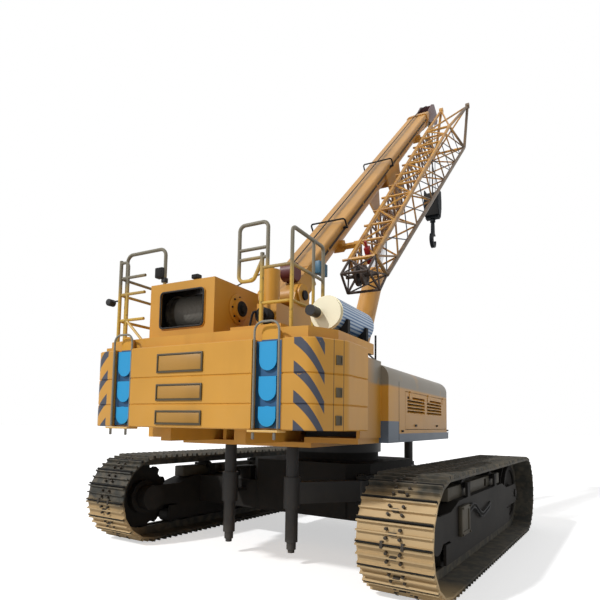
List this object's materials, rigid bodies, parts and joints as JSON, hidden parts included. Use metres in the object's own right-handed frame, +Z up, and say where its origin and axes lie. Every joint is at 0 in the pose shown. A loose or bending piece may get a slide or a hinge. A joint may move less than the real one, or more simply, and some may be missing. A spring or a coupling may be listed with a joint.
{
  "type": "telescopic-boom crawler crane with a stowed lattice fly jib",
  "caption": "Crawler crane with a nested telescopic boom, a lattice jib stowed beside it, stacked counterweight, swing-out jacks, cab and hook block.",
  "frame": {"origin": "on the ground under the slewing axis", "axes": "+X to the right of the upper works, +Y forward under the boom, +Z up; the tracks stand turned 4.66 degrees clockwise under the upper works, seen from above"},
  "size_m": [5.4604, 9.9947, 10.6116],
  "materials": {
    "main_paint": "satin, weathered",
    "boom_paint": "satin",
    "weight_paint": "satin",
    "blue_paint": "satin",
    "head_paint": "satin",
    "black_paint": "satin",
    "track_steel": "worn, dusty",
    "rod_chrome": "polished",
    "bare_steel": "matt",
    "canister_skin": "brushed",
    "rail_paint": "satin",
    "maroon": "satin",
    "engine_iron": "matt",
    "cab_glass": "clear",
    "seat_trim": "matt"
  },
  "bodies": {
    "undercarriage": {"carbody": "black_paint", "slewing_ring": "black_paint", "track_right": "track_steel", "track_left": "track_steel", "track_frame_right": "black_paint", "track_frame_left": "black_paint", "track_rollers": "track_steel", "idlers": "track_steel", "sprockets": "track_steel"},
    "jack_rear_right": {"jack_rear_right": "black_paint"},
    "jack_rear_left": {"jack_rear_left": "black_paint"},
    "jack_front_right": {"jack_front_right": "black_paint"},
    "jack_front_left": {"jack_front_left": "black_paint"},
    "superstructure": {"turntable_frame": "main_paint", "hinge_pins": "black_paint", "counterweight_lower": "weight_paint", "counterweight_middle": "weight_paint", "counterweight_upper": "weight_paint", "counterweight_hangers": "blue_paint", "engine_hood": "main_paint", "engine_block": "engine_iron", "fuel_tank": "main_paint", "hydraulic_tank": "main_paint", "winch_housing": "main_paint", "rear_deck": "main_paint", "exhaust_canister": "canister_skin", "canister_cradle": "black_paint", "handrails": "rail_paint", "cab_shell": "main_paint", "cab_windows": "cab_glass", "cab_seat": "seat_trim", "cab_console": "seat_trim"},
    "hood_door": {"hood_door": "main_paint"},
    "hoist_drum": {"hoist_drum": "bare_steel"},
    "cab_door": {"cab_door": "main_paint", "cab_door_glass": "cab_glass"},
    "boom": {"boom_base_section": "boom_paint", "rope_guides": "black_paint", "jib_truss": "boom_paint", "jib_brackets": "boom_paint", "hose_reel": "maroon"},
    "section_2": {"boom_section_2": "boom_paint"},
    "section_3": {"boom_section_3": "boom_paint"},
    "section_4": {"boom_section_4": "boom_paint", "boom_head": "head_paint"},
    "head_sheaves": {"head_sheaves": "bare_steel"},
    "luff_barrel": {"luff_cylinder_barrel": "boom_paint"},
    "luff_rod": {"luff_cylinder_rod": "rod_chrome"},
    "hook_block": {"hook_block": "black_paint", "rope_falls": "bare_steel"},
    "hook": {"hook": "bare_steel"}
  },
  "joints": [
    {"name": "slew", "type": "hinge", "parent": "undercarriage", "child": "superstructure", "pos_m": [0, 0, 1.455], "axis": [0, 0, 1], "continuous": true},
    {"name": "boom_luff", "type": "hinge", "parent": "superstructure", "child": "boom", "pos_m": [0, -1.7, 3.4], "axis": [1, 0, 0], "range_deg": [-42.5, 35.5]},
    {"name": "boom_extend_2", "type": "slide", "parent": "boom", "child": "section_2", "axis": [0, 0.7373, 0.6756], "range_m": [0, 7.4]},
    {"name": "boom_extend_3", "type": "slide", "parent": "section_2", "child": "section_3", "axis": [0, 0.7373, 0.6756], "range_m": [0, 7.4]},
    {"name": "boom_extend_4", "type": "slide", "parent": "section_3", "child": "section_4", "axis": [0, 0.7373, 0.6756], "range_m": [0, 7.4]},
    {"name": "luff_barrel_pivot", "type": "hinge", "parent": "superstructure", "child": "luff_barrel", "pos_m": [0, 0.2, 1.7], "axis": [1, 0, 0], "range_deg": [-39.1, 32.66]},
    {"name": "luff_rod_slide", "type": "slide", "parent": "luff_barrel", "child": "luff_rod", "axis": [0, 0.4782, 0.8782], "range_m": [-1.6621, 1.3884]},
    {"name": "head_sheaves_turn", "type": "hinge", "parent": "section_4", "child": "head_sheaves", "pos_m": [0, 6.1968, 10.3241], "axis": [1, 0, 0], "continuous": true},
    {"name": "hook_block_swing", "type": "hinge", "parent": "section_4", "child": "hook_block", "pos_m": [0, 6.1968, 10.3241], "axis": [1, 0, 0], "range_deg": [-35.5, 42.5]},
    {"name": "hook_swivel", "type": "hinge", "parent": "hook_block", "child": "hook", "pos_m": [0.0645, 6.1968, 7.4141], "axis": [0, 0, 1], "continuous": true},
    {"name": "hoist_drum_turn", "type": "hinge", "parent": "superstructure", "child": "hoist_drum", "pos_m": [-0.62, -2.54, 3.08], "axis": [1, 0, 0], "continuous": true},
    {"name": "cab_door_slide", "type": "slide", "parent": "superstructure", "child": "cab_door", "axis": [0, -1, 0], "range_m": [0, 0.65]},
    {"name": "hood_door_hinge", "type": "hinge", "parent": "superstructure", "child": "hood_door", "pos_m": [1.5843, 0, 2.138], "axis": [0, -1, 0], "range_deg": [0, 80]},
    {"name": "jack_rear_right_swing", "type": "hinge", "parent": "undercarriage", "child": "jack_rear_right", "pos_m": [0.9798, -1.2738, 0.87], "axis": [0, 0, 1], "range_deg": [0, 72]},
    {"name": "jack_rear_left_swing", "type": "hinge", "parent": "undercarriage", "child": "jack_rear_left", "pos_m": [-1.1731, -1.0983, 0.87], "axis": [0, 0, -1], "range_deg": [0, 72]},
    {"name": "jack_front_right_swing", "type": "hinge", "parent": "undercarriage", "child": "jack_front_right", "pos_m": [1.1731, 1.0983, 0.87], "axis": [0, 0, -1], "range_deg": [0, 72]},
    {"name": "jack_front_left_swing", "type": "hinge", "parent": "undercarriage", "child": "jack_front_left", "pos_m": [-0.9798, 1.2738, 0.87], "axis": [0, 0, 1], "range_deg": [0, 72]}
  ],
  "couplings": [
    {"joint": "boom_extend_3", "follows": "boom_extend_2", "ratio": 1},
    {"joint": "boom_extend_4", "follows": "boom_extend_2", "ratio": 1},
    {"joint": "luff_barrel_pivot", "follows": "boom_luff", "ratio": 0.92},
    {"joint": "luff_rod_slide", "follows": "boom_luff", "m_per_rad": 2.24},
    {"joint": "hook_block_swing", "follows": "boom_luff", "ratio": -1}
  ]
}
